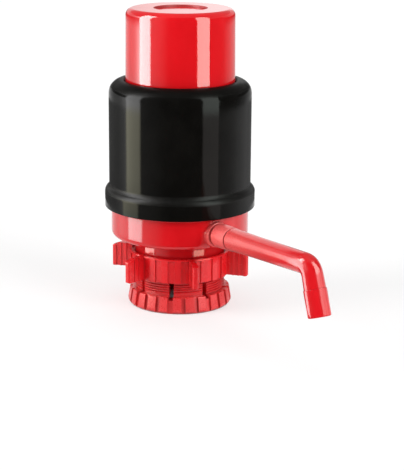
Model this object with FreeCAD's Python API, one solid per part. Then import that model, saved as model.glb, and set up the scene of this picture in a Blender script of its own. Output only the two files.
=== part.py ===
"""Hand pump for a large water jug.

The press cap slides down in the black sleeve and squeezes a bellows.  The bellows
pushes air through a valve in the deck, down past the hose socket and into the jug,
and the air drives the water up a hose (not part of this object), through the
channel in the base and out of the swivel spout.  Under the base a winged ring
draws a slotted collet up into a cone, which closes its fingers on the jug's neck.

All sizes are in millimetres.  The origin is on the pump's axis, in the plane of the
collet's foot.  +Z is up and the spout points along +X.
"""
import FreeCAD
import Part
import math
import os

V = FreeCAD.Vector
ORIGIN = V(0, 0, 0)
X_AXIS = V(1, 0, 0)
Y_AXIS = V(0, 1, 0)
Z_AXIS = V(0, 0, 1)

# --- driving dimensions -----------------------------------------------------------

# jug neck and collet
NECK_BORE_R = 27.8          # clears a 55 mm jug crown
COLLET_TOP_Z = 33.0
BAND_TOP_Z = 12.3
BAND_FOOT_R = 39.3
BAND_FOOT_ROUND = 3.0
BAND_TOP_R = 37.2
FINGER_R = 32.4             # root radius of the collet's thread
FINGER_CONE_Z = 27.5        # where the clamping cone of the fingers starts
FINGER_TIP_R = 30.6
SLOT_COUNT = 8
SLOT_WIDTH = 3.5
SLOT_FOOT_Z = 9.8
SLOT_FIRST_DEG = 3.25
FLUTE_COUNT = 24            # every third flute is a wider one, under a slot
FLUTE_WIDTH = 3.0
SLOT_FLUTE_WIDTH = 4.2
FLUTE_DEPTH = 1.9

# winged lock ring
RING_FOOT_Z = 23.5
RING_TOP_Z = 41.5
RING_R = 38.2
RING_BORE_R = 33.75
RING_RELIEF_R = 35.0        # room round the retaining ring
RING_RELIEF_Z = 36.2
RING_LIP_Z = 38.5
RING_LIP_TOP_Z = 39.8
RING_WALL = 2.4             # wall above the captive lip
RING_NOTCH_COUNT = 24
RING_NOTCH_WIDTH = 5.0
RING_NOTCH_DEPTH = 1.1
RING_NOTCH_TOP_Z = 40.3
WING_COUNT = 6
WING_FIRST_DEG = -18.0
WING_TIP_R = 53.0
WING_THICKNESS = 4.6
WING_SLOPE = (5.8, 2.3)     # length and drop of the slope at the top of the tip
WING_ROUND = 1.6
WING_GROOVES = ((37.0, 41.5), (42.7, 45.6), (46.8, 49.7))   # radii, in each face
WING_GROOVE_DEPTH = 0.6

# base bowl
SKIRT_R = 33.5
SKIRT_FOOT_Z = 33.8
SKIRT_MOUTH_R = 32.75
SKIRT_CONE_Z = 35.4
SKIRT_BORE_R = 30.9
SKIRT_CONE_TOP_Z = 40.9
CLIP_GROOVE_R = 33.0
CLIP_GROOVE_Z = (37.0, 38.4)
BOWL_FLOOR_Z = 52.0
BOWL_R = 51.0
BOWL_WALL = 2.4
BOWL_CORNER = 4.3
RIM_FOOT_Z = 73.5
RIM_SHOULDER_Z = 77.0       # where the bore widens for the deck's flange
RIM_TOP_Z = 84.0
RIM_R = 52.6
RIM_BORE_R = 50.3
NECK_FLOOR_Z = (45.5, 48.5)
GASKET_Z = 42.5
HOSE_SOCKET_R = 10.0
HOSE_BORE_R = 6.2
HOSE_BORE_DEPTH = 14.0
AIR_HOLE_COUNT = 6
AIR_HOLE_R = 3.0
AIR_HOLE_CIRCLE_R = 16.0
RIB_THICKNESS = 2.0

# spout
SPOUT_AXIS_Z = 60.5         # height of the swivel axis on the pump's axis
SPOUT_TILT_DEG = 2.8        # the arm rises by this much
SPOUT_CORNER = 168.0        # pump axis to the crossing of arm and nozzle axes
NOZZLE_DROP_DEG = 73.5      # turn from the arm's line down to the nozzle's line
NOZZLE_LENGTH = 34.9        # crossing of the axes to the nozzle's mouth
ELBOW_BEND_R = 9.0
ARM_ROOT_R = 8.25
ARM_R = 7.75
ARM_END_R = 7.3
STUB_END_R = 7.55
WATER_R = 4.8
CHANNEL_R = 5.0
CHANNEL_WALL_R = 7.5
BOSS_R = 9.1
BOSS_END = 54.6
BOSS_FLARE = 3.0
BOSS_FOOT_Z = 52.3          # flat under the flare
SOCKET_TAIL = 44.0
SOCKET_TAIL_R = 6.95
SOCKET_GROOVE = 2.4         # recess between boss and collar
SOCKET_SEAM = 73.0
SOCKET_R = 8.7
SOCKET_BORE_R = 6.0
SPIGOT_R = 5.92
SPIGOT_START = 56.0
SPIGOT_CLIP = (1.9, 3.3)    # the clip's groove, from the spigot's start
TIP_SEAM = 16.0
TIP_HOLD = 12.0             # length of stub inside the tip
TIP_R = 8.0

# deck, bellows and press
DECK_Z = (73.0, 76.0)
DECK_WALL_R = (45.2, 47.7)
DECK_FLANGE_Z = (85.0, 86.3)
DECK_FLANGE_R = 52.4
DECK_BOSS_R = 3.4
DECK_BOSS_FOOT_Z = 66.0
DECK_HOLE_FOOT_Z = 67.4
PLATE_Z = (150.0, 153.0)
PLATE_R = 42.5
SCREW_COUNT = 6
SCREW_CIRCLE_R = 34.3
SCREW_SHANK_R = 1.5
SCREW_HEAD_R = 2.9
SCREW_HEAD_HEIGHT = 1.8
SCREW_HOLE_R = 1.65
SCREW_FIRST_DEG = 30.0
CLAMP_R = (31.5, 37.2)
CLAMP_HEIGHT = 2.5
BELLOWS_LIP = 1.6
BELLOWS_CREST_R = 44.5
BELLOWS_ROOT_R = 38.4
BELLOWS_WALL = 1.4
BELLOWS_FOLDS = 6
SPRING_R = 17.0
SPRING_WIRE_R = 1.1
SPRING_TURNS = 8
SPRING_SEAT_R = (13.5, 15.3)
SPRING_SEAT_HEIGHT = 3.0
VALVE_R = 10.0
VALVE_STEM_R = 2.0
PORT_COUNT = 6
PORT_R = 1.8
PORT_CIRCLE_R = 6.0

# sleeve and press cap
SLEEVE_FOOT_Z = 74.8
SLEEVE_TOP_Z = 168.5
SLEEVE_R = 52.5
SLEEVE_BORE_R = 49.9
SLEEVE_STEP_Z = 86.5
LIP_R = 55.7
LIP_BORE_R = 52.9
LIP_SLOPE_Z = (87.4, 90.6)
SHOULDER_R = 9.8
GUIDE_BORE_R = 40.7
GUIDE_R = 42.7
GUIDE_FOOT_Z = 156.0
CAP_TOP_Z = 220.5
CAP_R = 40.3
CAP_TOP_R = 39.8
CAP_WALL = 2.3
CAP_EDGE = 5.0
CAP_FLANGE_R = 44.0
CAP_FLANGE_HEIGHT = 2.5
CAP_BOSS_R = 4.1
CAP_BOSS_HEIGHT = 14.0
CAP_PILOT_DEPTH = 12.0
RECESS_R = 19.3
RECESS_DEPTH = 1.5


# --- helpers ----------------------------------------------------------------------

def rounded_wire(corners, place):
    """Closed wire through corners (a, b) or (a, b, radius), rounded where a radius is given."""
    points = [V(c[0], c[1], 0) for c in corners]
    radii = [c[2] if len(c) > 2 else 0.0 for c in corners]
    starts = []
    ends = []
    arcs = []
    count = len(points)
    for i in range(count):
        corner = points[i]
        back = (points[i - 1] - corner).normalize()
        ahead = (points[(i + 1) % count] - corner).normalize()
        if radii[i] == 0.0:
            starts.append(corner)
            ends.append(corner)
            arcs.append(None)
            continue
        half = math.acos(max(-1.0, min(1.0, back.dot(ahead)))) / 2
        reach = radii[i] / math.tan(half)
        bisector = (back + ahead).normalize()
        middle = corner + bisector * (radii[i] / math.sin(half) - radii[i])
        starts.append(corner + back * reach)
        ends.append(corner + ahead * reach)
        arcs.append(middle)
    edges = []
    for i in range(count):
        if arcs[i] is not None:
            arc = Part.Arc(place(starts[i]), place(arcs[i]), place(ends[i]))
            edges.append(arc.toShape())
        here = ends[i]
        following = starts[(i + 1) % count]
        if (here - following).Length > 1e-6:
            edges.append(Part.LineSegment(place(here), place(following)).toShape())
    return Part.Wire(edges)


def turned(corners):
    """Solid of revolution about Z from an outline of (radius, height) corners."""
    wire = rounded_wire(corners, lambda p: V(p.x, 0, p.y))
    return Part.Face(wire).revolve(ORIGIN, Z_AXIS, 360)


def extruded(corners, z_low, z_high):
    """Prism between two heights from a plan outline of (x, y) corners."""
    wire = rounded_wire(corners, lambda p: V(p.x, p.y, z_low))
    return Part.Face(wire).extrude(V(0, 0, z_high - z_low))


def disc(radius, z_low, z_high):
    """Round bar on the Z axis."""
    return Part.makeCylinder(radius, z_high - z_low, V(0, 0, z_low))


def tube(inner, outer, z_low, z_high):
    """Plain ring on the Z axis."""
    return disc(outer, z_low, z_high).cut(disc(inner, z_low - 1, z_high + 1))


def block(x_low, x_high, width, z_low, z_high):
    """Box that is centred across Y."""
    corner = V(x_low, -width / 2, z_low)
    return Part.makeBox(x_high - x_low, width, z_high - z_low, corner)


def turned_to(shape, degrees):
    """Copy of a shape, turned about the Z axis."""
    copy = shape.copy()
    copy.rotate(ORIGIN, Z_AXIS, degrees)
    return copy


def pattern(shape, count, first_deg=0.0):
    """Copies of a shape, evenly spaced round the Z axis."""
    return [turned_to(shape, first_deg + i * 360.0 / count) for i in range(count)]


def moved(shape, x=0.0, y=0.0, z=0.0):
    """Copy of a shape, shifted."""
    copy = shape.copy()
    copy.translate(V(x, y, z))
    return copy


def along_x(shape):
    """Copy of a shape that was made along Z, laid along X."""
    copy = shape.copy()
    copy.rotate(ORIGIN, Y_AXIS, 90)
    return copy


def on_spout_axis(shape):
    """Copy of a shape made along X from the pump's axis, put on the tilted spout axis."""
    copy = shape.copy()
    copy.rotate(ORIGIN, Y_AXIS, -SPOUT_TILT_DEG)
    copy.translate(V(0, 0, SPOUT_AXIS_Z))
    return copy


def on_nozzle_axis(shape):
    """Copy of a shape made along X, put on the nozzle's axis from the spout's corner."""
    copy = shape.copy()
    copy.rotate(ORIGIN, Y_AXIS, NOZZLE_DROP_DEG)
    copy.translate(V(SPOUT_CORNER, 0, 0))
    return on_spout_axis(copy)


def o_ring(ring_r, section_r, z):
    """Round-section ring on the Z axis."""
    return Part.makeTorus(ring_r, section_r, V(0, 0, z))


# --- clamping parts under the base ------------------------------------------------

def band_flute(width):
    """Cutter for one upright flute, leaning in with the hand band's wall."""
    lean = math.degrees(math.atan2(BAND_FOOT_R - BAND_TOP_R, BAND_TOP_Z))
    flute = block(-FLUTE_DEPTH, FLUTE_DEPTH, width, -2, BAND_TOP_Z + 2)
    flute.rotate(ORIGIN, Y_AXIS, -lean)
    return moved(flute, BAND_FOOT_R)


def collet():
    """Slotted collet: a fluted hand band with eight fingers rising from it."""
    body = turned([
        (NECK_BORE_R, 0),
        (BAND_FOOT_R, 0, BAND_FOOT_ROUND),
        (BAND_TOP_R, BAND_TOP_Z, 0.5),
        (FINGER_R, BAND_TOP_Z),
        (FINGER_R, FINGER_CONE_Z),
        (FINGER_TIP_R, COLLET_TOP_Z),
        (NECK_BORE_R, COLLET_TOP_Z),
    ])
    slot = block(NECK_BORE_R - 3, BAND_TOP_R + 3, SLOT_WIDTH, SLOT_FOOT_Z, COLLET_TOP_Z + 1)
    body = body.cut(pattern(band_flute(FLUTE_WIDTH), FLUTE_COUNT, SLOT_FIRST_DEG))
    body = body.cut(pattern(band_flute(SLOT_FLUTE_WIDTH), SLOT_COUNT, SLOT_FIRST_DEG))
    return body.cut(pattern(slot, SLOT_COUNT, SLOT_FIRST_DEG))


def ring_wing():
    """One finger wing of the lock ring, with grip grooves in each face."""
    half = WING_THICKNESS / 2
    root = RING_R - 2
    slope, drop = WING_SLOPE
    plan = extruded([
        (root, -half),
        (WING_TIP_R, -half, WING_ROUND),
        (WING_TIP_R, half, WING_ROUND),
        (root, half),
    ], RING_FOOT_Z - 1, RING_TOP_Z + 1)
    side = rounded_wire([
        (root, RING_FOOT_Z),
        (WING_TIP_R, RING_FOOT_Z, 1.0),
        (WING_TIP_R, RING_TOP_Z - drop, 1.2),
        (WING_TIP_R - slope, RING_TOP_Z, 3.0),
        (root, RING_TOP_Z),
    ], lambda p: V(p.x, -half - 1, p.y))
    wing = plan.common(Part.Face(side).extrude(V(0, WING_THICKNESS + 2, 0)))
    grooves = []
    for start, end in WING_GROOVES:
        groove = block(start, end, 2 * WING_GROOVE_DEPTH, RING_FOOT_Z - 1, RING_TOP_Z + 1)
        grooves += [moved(groove, 0, -half), moved(groove, 0, half)]
    return wing.cut(grooves)


def lock_ring():
    """Captive winged ring, with the thread bore, the captive lip and shallow notches."""
    body = turned([
        (RING_BORE_R, RING_FOOT_Z),
        (RING_R, RING_FOOT_Z, 0.5),
        (RING_R, RING_TOP_Z, 0.5),
        (RING_R - RING_WALL, RING_TOP_Z),
        (RING_R - RING_WALL, RING_LIP_TOP_Z),
        (RING_BORE_R, RING_LIP_TOP_Z),
        (RING_BORE_R, RING_LIP_Z),
        (RING_RELIEF_R, RING_LIP_Z),
        (RING_RELIEF_R, RING_RELIEF_Z),
        (RING_BORE_R, RING_RELIEF_Z),
    ])
    floor_r = RING_R - RING_NOTCH_DEPTH
    notch = block(floor_r, RING_R + 3, RING_NOTCH_WIDTH, RING_FOOT_Z - 1, RING_NOTCH_TOP_Z)
    beside = block(floor_r, RING_R + 3, WING_THICKNESS + 2, RING_FOOT_Z - 1, RING_NOTCH_TOP_Z)
    pitch = 360.0 / RING_NOTCH_COUNT
    body = body.cut(pattern(notch, RING_NOTCH_COUNT, WING_FIRST_DEG + pitch / 2))
    body = body.cut(pattern(beside, WING_COUNT, WING_FIRST_DEG))
    return body.fuse(pattern(ring_wing(), WING_COUNT, WING_FIRST_DEG)).removeSplitter()


def retaining_ring():
    """Split ring in the skirt's groove, which keeps the lock ring on the base."""
    body = tube(CLIP_GROOVE_R + 0.05, RING_BORE_R + 0.95,
                CLIP_GROOVE_Z[0] + 0.05, CLIP_GROOVE_Z[1] - 0.05)
    gap = block(-RING_R, 0, 5.0, CLIP_GROOVE_Z[0] - 1, CLIP_GROOVE_Z[1] + 1)
    return body.cut(gap)


def neck_gasket():
    """Flat rubber washer that the jug's rim seals on."""
    return tube(21.5, SKIRT_BORE_R - 0.3, GASKET_Z, NECK_FLOOR_Z[0])


# --- base ---------------------------------------------------------------------------

def bowl_shell():
    """Turned wall, floor and neck skirt of the base."""
    bore_r = BOWL_R - BOWL_WALL
    return turned([
        (0, NECK_FLOOR_Z[0]),
        (SKIRT_BORE_R, NECK_FLOOR_Z[0]),
        (SKIRT_BORE_R, SKIRT_CONE_TOP_Z),
        (SKIRT_MOUTH_R, SKIRT_CONE_Z),
        (SKIRT_MOUTH_R, SKIRT_FOOT_Z),
        (SKIRT_R, SKIRT_FOOT_Z),
        (SKIRT_R, CLIP_GROOVE_Z[0]),
        (CLIP_GROOVE_R, CLIP_GROOVE_Z[0]),
        (CLIP_GROOVE_R, CLIP_GROOVE_Z[1]),
        (SKIRT_R, CLIP_GROOVE_Z[1]),
        (SKIRT_R, BOWL_FLOOR_Z, 1.0),
        (BOWL_R, BOWL_FLOOR_Z, BOWL_CORNER),
        (BOWL_R, RIM_FOOT_Z),
        (RIM_R, RIM_FOOT_Z, 0.5),
        (RIM_R, RIM_TOP_Z),
        (RIM_BORE_R, RIM_TOP_Z),
        (RIM_BORE_R, RIM_SHOULDER_Z),
        (bore_r, RIM_SHOULDER_Z),
        (bore_r, BOWL_FLOOR_Z + BOWL_WALL, 1.5),
        (SKIRT_BORE_R, BOWL_FLOOR_Z + BOWL_WALL, 1.0),
        (SKIRT_BORE_R, NECK_FLOOR_Z[1]),
        (0, NECK_FLOOR_Z[1]),
    ])


def bowl_rib():
    """Gusset between the bowl's floor and wall, which carries the deck."""
    wire = rounded_wire([
        (SKIRT_R + 1.5, BOWL_FLOOR_Z + 1),
        (BOWL_R - 1, BOWL_FLOOR_Z + 1, BOWL_CORNER - 1),
        (BOWL_R - 1, DECK_Z[0] - 0.2),
        (BOWL_R - 7, DECK_Z[0] - 0.2, 3.0),
        (SKIRT_R + 1.5, BOWL_FLOOR_Z + 6, 2.0),
    ], lambda p: V(p.x, -RIB_THICKNESS / 2, p.y))
    return Part.Face(wire).extrude(V(0, RIB_THICKNESS, 0))


def spout_boss():
    """Flared boss on the bowl's wall, on the spout's axis."""
    flare_start = BOWL_R - 4.5
    boss = turned([
        (0, flare_start),
        (BOSS_R + BOSS_FLARE, flare_start),
        (BOSS_R + 0.3, BOWL_R, 4.0),
        (BOSS_R, BOSS_END, 0.6),
        (0, BOSS_END),
    ])
    below = block(0, BOSS_END + 3, 4 * BOSS_R, 0, BOSS_FOOT_Z)
    return on_spout_axis(along_x(boss)).cut(below)


def base_bowl():
    """Base moulding: bowl, neck skirt, hose socket, water channel and spout boss."""
    channel = on_spout_axis(along_x(disc(CHANNEL_WALL_R, 0, BOWL_R - 2)))
    socket_top_z = SPOUT_AXIS_Z + CHANNEL_WALL_R - 1
    socket = turned([
        (0, GASKET_Z),
        (HOSE_SOCKET_R, GASKET_Z, 0.6),
        (HOSE_SOCKET_R, socket_top_z, 3.0),
        (0, socket_top_z),
    ])
    body = bowl_shell().fuse([socket, channel, spout_boss()])
    body = body.fuse([turned_to(bowl_rib(), 60 * i) for i in range(1, 6)])
    hose_bore_top = GASKET_Z + HOSE_BORE_DEPTH
    seal_z = GASKET_Z + 5.5
    hose_bore = turned([
        (0, GASKET_Z - 1),
        (HOSE_BORE_R, GASKET_Z - 1),
        (HOSE_BORE_R, seal_z - 1.1),
        (HOSE_BORE_R + 2.0, seal_z - 1.1),
        (HOSE_BORE_R + 2.0, seal_z + 1.1),
        (HOSE_BORE_R, seal_z + 1.1),
        (HOSE_BORE_R, hose_bore_top),
        (CHANNEL_R - 0.5, hose_bore_top),
        (CHANNEL_R - 0.5, SPOUT_AXIS_Z),
        (0, SPOUT_AXIS_Z),
    ])
    water = along_x(disc(CHANNEL_R, -0.5, SOCKET_TAIL + 1))
    seat = along_x(disc(SOCKET_TAIL_R + 0.05, SOCKET_TAIL, BOSS_END + 1))
    air_hole = disc(AIR_HOLE_R, NECK_FLOOR_Z[0] - 1, NECK_FLOOR_Z[1] + 1)
    air_hole = moved(air_hole, AIR_HOLE_CIRCLE_R)
    deck_room = disc(BOWL_R - BOWL_WALL, DECK_Z[0] - 0.2, RIM_TOP_Z)
    body = body.cut([hose_bore, deck_room, on_spout_axis(water), on_spout_axis(seat)])
    body = body.cut(pattern(air_hole, AIR_HOLE_COUNT, SCREW_FIRST_DEG))
    return body.removeSplitter()


def tube_seal():
    """O-ring in the hose socket."""
    return o_ring(HOSE_BORE_R + 1.0, 0.95, GASKET_Z + 5.5)


def deck_seal():
    """Flat seal between the bowl's rim and the deck's flange."""
    return tube(RIM_BORE_R + 0.2, DECK_FLANGE_R, RIM_TOP_Z, DECK_FLANGE_Z[0])


def ports(z_low, z_high):
    """Hole for the valve's stem and the ring of air ports about it."""
    port = moved(disc(PORT_R, z_low, z_high), PORT_CIRCLE_R)
    return [disc(VALVE_STEM_R + 0.1, z_low, z_high)] + pattern(port, PORT_COUNT)


def on_screw_circle(shape):
    """Copies of a shape at the six screws."""
    return pattern(moved(shape, SCREW_CIRCLE_R), SCREW_COUNT, SCREW_FIRST_DEG)


def deck_plate():
    """Dished deck that carries the bellows, the spring and the outlet valve."""
    body = turned([
        (0, DECK_Z[0]),
        (DECK_WALL_R[1], DECK_Z[0], 1.0),
        (DECK_WALL_R[1], DECK_FLANGE_Z[0]),
        (DECK_FLANGE_R, DECK_FLANGE_Z[0]),
        (DECK_FLANGE_R, DECK_FLANGE_Z[1]),
        (DECK_WALL_R[0], DECK_FLANGE_Z[1], 0.5),
        (DECK_WALL_R[0], DECK_Z[1], 1.0),
        (SPRING_SEAT_R[1], DECK_Z[1]),
        (SPRING_SEAT_R[1], DECK_Z[1] + SPRING_SEAT_HEIGHT),
        (SPRING_SEAT_R[0], DECK_Z[1] + SPRING_SEAT_HEIGHT),
        (SPRING_SEAT_R[0], DECK_Z[1]),
        (0, DECK_Z[1]),
    ])
    boss = disc(DECK_BOSS_R, DECK_BOSS_FOOT_Z, DECK_Z[0] + 1)
    body = body.fuse(on_screw_circle(boss))
    hole = disc(SCREW_SHANK_R, DECK_HOLE_FOOT_Z, DECK_Z[1] + 1)
    return body.cut(on_screw_circle(hole) + ports(DECK_Z[0] - 1, DECK_Z[1] + 1))


def umbrella_valve(face_z, plate_top_z):
    """Rubber umbrella under a plate's ports, with a barbed stem through the plate."""
    return turned([
        (0, face_z - 3.0),
        (5.0, face_z - 2.7),
        (VALVE_R, face_z - 0.8),
        (VALVE_R, face_z),
        (VALVE_R - 1.4, face_z),
        (3.4, face_z - 1.4),
        (VALVE_STEM_R, face_z - 1.4),
        (VALVE_STEM_R, plate_top_z + 0.2),
        (VALVE_STEM_R + 1.0, plate_top_z + 0.6),
        (VALVE_STEM_R - 0.6, plate_top_z + 3.0),
        (0, plate_top_z + 3.0),
    ])


# --- bellows and spring -------------------------------------------------------------

def bellows():
    """Rubber bellows with a flat lip at each end and six folds."""
    low_z = DECK_Z[1]
    high_z = PLATE_Z[0]
    fold_low = low_z + BELLOWS_LIP
    pitch = (high_z - low_z - 2 * BELLOWS_LIP) / BELLOWS_FOLDS
    flat = 1.2
    outer = []
    for i in range(BELLOWS_FOLDS):
        z = fold_low + i * pitch
        outer.append((BELLOWS_ROOT_R, z + flat / 2))
        outer.append((BELLOWS_CREST_R, z + pitch / 2 - flat / 2))
        outer.append((BELLOWS_CREST_R, z + pitch / 2 + flat / 2))
        outer.append((BELLOWS_ROOT_R, z + pitch - flat / 2))
    inner = [(r - BELLOWS_WALL, z) for r, z in reversed(outer)]
    outline = [(CLAMP_R[0], low_z), (BELLOWS_ROOT_R, low_z)]
    outline += outer
    outline += [(BELLOWS_ROOT_R, high_z), (CLAMP_R[0], high_z)]
    outline += [(CLAMP_R[0], high_z - BELLOWS_LIP)]
    outline += [(BELLOWS_ROOT_R - BELLOWS_WALL, high_z - BELLOWS_LIP)]
    outline += inner
    outline += [(BELLOWS_ROOT_R - BELLOWS_WALL, fold_low)]
    outline += [(CLAMP_R[0], fold_low)]
    hole = disc(SCREW_HOLE_R, low_z - 1, high_z + 1)
    return turned(outline).cut(on_screw_circle(hole))


def return_spring():
    """Coil spring inside the bellows."""
    low_z = DECK_Z[1] + SPRING_WIRE_R
    height = PLATE_Z[0] - SPRING_WIRE_R - low_z
    path = Part.makeHelix(height / SPRING_TURNS, height, SPRING_R)
    path.translate(V(0, 0, low_z))
    section = Part.makeCircle(SPRING_WIRE_R, V(SPRING_R, 0, low_z), Y_AXIS)
    return Part.Wire(path.Edges).makePipe(Part.Face(Part.Wire(section)))


def clamp_ring(z_low):
    """Ring that clamps one lip of the bellows."""
    body = tube(CLAMP_R[0], CLAMP_R[1] - 0.4, z_low, z_low + CLAMP_HEIGHT)
    hole = disc(SCREW_HOLE_R, z_low - 1, z_low + CLAMP_HEIGHT + 1)
    return body.cut(on_screw_circle(hole))


def screws(head_z, tip_z):
    """Six pan-head screws that point from the head's seat to the tip."""
    toward = 1 if tip_z > head_z else -1
    shank = disc(SCREW_SHANK_R, min(head_z, tip_z), max(head_z, tip_z))
    outside = head_z - toward * SCREW_HEAD_HEIGHT
    head = turned([
        (0, head_z),
        (SCREW_HEAD_R, head_z),
        (SCREW_HEAD_R, outside, 1.0),
        (0, outside),
    ])
    return Part.makeCompound(on_screw_circle(shank.fuse(head)))


# --- press --------------------------------------------------------------------------

def top_plate():
    """Plate between the cap and the bellows, with the inlet ports."""
    body = turned([
        (0, PLATE_Z[0]),
        (SPRING_SEAT_R[0], PLATE_Z[0]),
        (SPRING_SEAT_R[0], PLATE_Z[0] - SPRING_SEAT_HEIGHT),
        (SPRING_SEAT_R[1], PLATE_Z[0] - SPRING_SEAT_HEIGHT),
        (SPRING_SEAT_R[1], PLATE_Z[0]),
        (PLATE_R, PLATE_Z[0], 0.6),
        (PLATE_R, PLATE_Z[1]),
        (0, PLATE_Z[1]),
    ])
    hole = disc(SCREW_HOLE_R, PLATE_Z[0] - 1, PLATE_Z[1] + 1)
    return body.cut(on_screw_circle(hole) + ports(PLATE_Z[0] - 1, PLATE_Z[1] + 1))


def press_cap():
    """Tall push cap, with the round recess, the stop flange and inner ribs."""
    foot_z = PLATE_Z[1]
    flange_z = foot_z + CAP_FLANGE_HEIGHT
    bore_r = CAP_R - CAP_WALL
    ceiling_z = CAP_TOP_Z - CAP_WALL
    recess_z = CAP_TOP_Z - RECESS_DEPTH
    body = turned([
        (0, recess_z),
        (RECESS_R, recess_z, 0.6),
        (RECESS_R, CAP_TOP_Z, 0.5),
        (CAP_TOP_R, CAP_TOP_Z, CAP_EDGE),
        (CAP_R, flange_z),
        (CAP_FLANGE_R, flange_z),
        (CAP_FLANGE_R, foot_z),
        (bore_r, foot_z),
        (bore_r - 0.5, ceiling_z, 3.0),
        (RECESS_R + CAP_WALL, ceiling_z),
        (RECESS_R + CAP_WALL, recess_z - CAP_WALL),
        (0, recess_z - CAP_WALL),
    ])
    boss = disc(CAP_BOSS_R, foot_z, foot_z + CAP_BOSS_HEIGHT)
    rib = block(RECESS_R, bore_r + 0.5, 1.8, ceiling_z - 10, ceiling_z + 0.5)
    body = body.fuse(on_screw_circle(boss) + pattern(rib, SCREW_COUNT))
    pilot = disc(SCREW_SHANK_R, foot_z - 1, foot_z + CAP_PILOT_DEPTH)
    vent = block(bore_r - 1, CAP_FLANGE_R + 1, 6.0, foot_z - 1, foot_z + 1.4)
    return body.cut(on_screw_circle(pilot) + pattern(vent, SCREW_COUNT))


def sleeve():
    """Black outer housing: the grip, the lip over the base and the cap's guide."""
    body = turned([
        (LIP_BORE_R, SLEEVE_FOOT_Z),
        (LIP_R, SLEEVE_FOOT_Z, 0.4),
        (LIP_R, LIP_SLOPE_Z[0], 5.0),
        (SLEEVE_R, LIP_SLOPE_Z[1], 4.0),
        (SLEEVE_R, SLEEVE_TOP_Z, SHOULDER_R),
        (GUIDE_BORE_R + 1.3, SLEEVE_TOP_Z, 0.5),
        (GUIDE_BORE_R, SLEEVE_TOP_Z - 1.6),
        (GUIDE_BORE_R, GUIDE_FOOT_Z),
        (GUIDE_R, GUIDE_FOOT_Z),
        (GUIDE_R, SLEEVE_TOP_Z - 2.8),
        (SLEEVE_BORE_R, SLEEVE_TOP_Z - 2.8, SHOULDER_R - 2.6),
        (SLEEVE_BORE_R, SLEEVE_STEP_Z),
        (LIP_BORE_R, SLEEVE_STEP_Z),
    ])
    rib = block(GUIDE_R - 1, SLEEVE_BORE_R + 1, 1.8, GUIDE_FOOT_Z + 2, SLEEVE_TOP_Z - 6)
    return body.fuse(pattern(rib, 8, 22.5)).removeSplitter()


# --- spout --------------------------------------------------------------------------

def spout_socket():
    """Collar in the boss, in which the spout turns."""
    collar_start = BOSS_END + SOCKET_GROOVE
    clip_low = SPIGOT_START + SPIGOT_CLIP[0]
    clip_high = SPIGOT_START + SPIGOT_CLIP[1]
    body = turned([
        (CHANNEL_R, SOCKET_TAIL),
        (SOCKET_TAIL_R, SOCKET_TAIL, 0.4),
        (SOCKET_TAIL_R, collar_start),
        (SOCKET_R, collar_start, 0.5),
        (SOCKET_R - 0.1, SOCKET_SEAM, 0.5),
        (SOCKET_BORE_R, SOCKET_SEAM),
        (SOCKET_BORE_R, clip_high),
        (SOCKET_BORE_R + 0.8, clip_high),
        (SOCKET_BORE_R + 0.8, clip_low),
        (SOCKET_BORE_R, clip_low),
        (SOCKET_BORE_R, SPIGOT_START - 0.5),
        (CHANNEL_R, SPIGOT_START - 0.5),
    ])
    return on_spout_axis(along_x(body))


def spout_clip():
    """Split clip that holds the spout's spigot in the socket."""
    low = SPIGOT_START + SPIGOT_CLIP[0] + 0.1
    high = SPIGOT_START + SPIGOT_CLIP[1] - 0.1
    body = tube(SPIGOT_R - 0.87, SOCKET_BORE_R + 0.7, low, high)
    gap = block(0, SOCKET_R, 3.0, low - 1, high + 1)
    return on_spout_axis(along_x(body.cut(gap)))


def seal_places():
    """Distances of the spigot's two O-rings from the pump's axis."""
    return [SPIGOT_START + 7.0, SPIGOT_START + 12.0]


def spout_tube():
    """Spigot, arm, elbow and nozzle stub of the spout, in one moulding."""
    reach = ELBOW_BEND_R * math.tan(math.radians(NOZZLE_DROP_DEG) / 2)
    arm_end = SPOUT_CORNER - reach
    arm_start = SOCKET_SEAM + 0.4
    clip_low = SPIGOT_START + SPIGOT_CLIP[0]
    clip_high = SPIGOT_START + SPIGOT_CLIP[1]
    clip_r = SPIGOT_R - 0.95
    spigot = [(0, SPIGOT_START), (SPIGOT_R, SPIGOT_START, 0.5)]
    spigot += [(SPIGOT_R, clip_low), (clip_r, clip_low)]
    spigot += [(clip_r, clip_high), (SPIGOT_R, clip_high)]
    for place in seal_places():
        spigot += [(SPIGOT_R, place - 0.6), (SPIGOT_R - 1.1, place - 0.6)]
        spigot += [(SPIGOT_R - 1.1, place + 0.6), (SPIGOT_R, place + 0.6)]
    arm = turned(spigot + [
        (SPIGOT_R, arm_start),
        (ARM_ROOT_R, arm_start, 0.8),
        (ARM_R, arm_start + 24, 60.0),
        (ARM_END_R, arm_end),
        (0, arm_end),
    ])
    bend_centre = V(arm_end, 0, -ELBOW_BEND_R)
    arm_tip = V(arm_end, 0, 0)

    def bend(radius):
        section = Part.Face(Part.Wire(Part.makeCircle(radius, arm_tip, X_AXIS)))
        return section.revolve(bend_centre, Y_AXIS, NOZZLE_DROP_DEG)

    stub = turned([
        (0, reach),
        (ARM_END_R, reach),
        (STUB_END_R, TIP_SEAM),
        (SPIGOT_R, TIP_SEAM),
        (SPIGOT_R, TIP_SEAM + TIP_HOLD, 0.5),
        (0, TIP_SEAM + TIP_HOLD),
    ])
    body = on_spout_axis(along_x(arm).fuse(bend(ARM_END_R)))
    body = body.fuse(on_nozzle_axis(along_x(stub)))
    narrow_end = arm_start + 3
    arm_bore = disc(WATER_R, narrow_end, arm_end).fuse(disc(WATER_R - 1, 0, narrow_end))
    water = on_spout_axis(along_x(arm_bore).fuse(bend(WATER_R)))
    stub_bore = on_nozzle_axis(along_x(disc(WATER_R, reach, TIP_SEAM + TIP_HOLD + 1)))
    return body.cut([water, stub_bore]).removeSplitter()


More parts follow.
